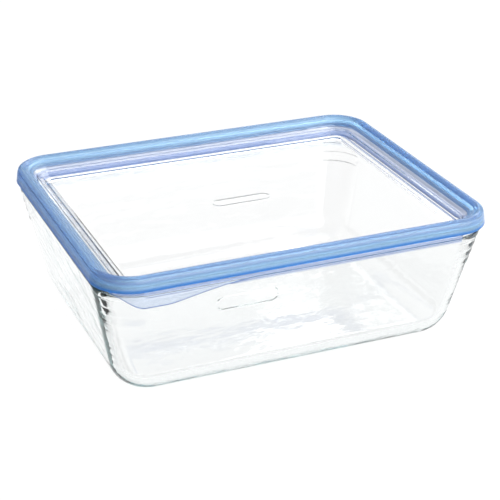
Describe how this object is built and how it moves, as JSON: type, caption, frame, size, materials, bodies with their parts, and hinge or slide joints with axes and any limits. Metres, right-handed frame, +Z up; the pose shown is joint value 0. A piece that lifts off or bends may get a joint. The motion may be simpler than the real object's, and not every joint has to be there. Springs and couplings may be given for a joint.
{
  "type": "glass storage container",
  "caption": "Rectangular glass food container with a clear recessed lid, a soft translucent blue press-down rim and a pull tab at the front.",
  "frame": {"origin": "centre of the flat foot of the glass dish, on the surface it stands on", "axes": "+Z up, +X along the long side, the pull tab of the lid is on the -Y side"},
  "size_m": [0.28, 0.2208, 0.0979],
  "materials": {
    "glass": "clear pressed glass",
    "clear_plastic": "clear gloss",
    "blue_soft_plastic": "translucent satin"
  },
  "bodies": {
    "dish": {"glass_dish": "glass"},
    "lid": {"lid_panel": "clear_plastic", "lid_rim": "blue_soft_plastic"}
  },
  "joints": [
    {"name": "lid_lift", "type": "slide", "parent": "dish", "child": "lid", "axis": [0, 0, 1], "range_m": [0, 0.12]}
  ]
}
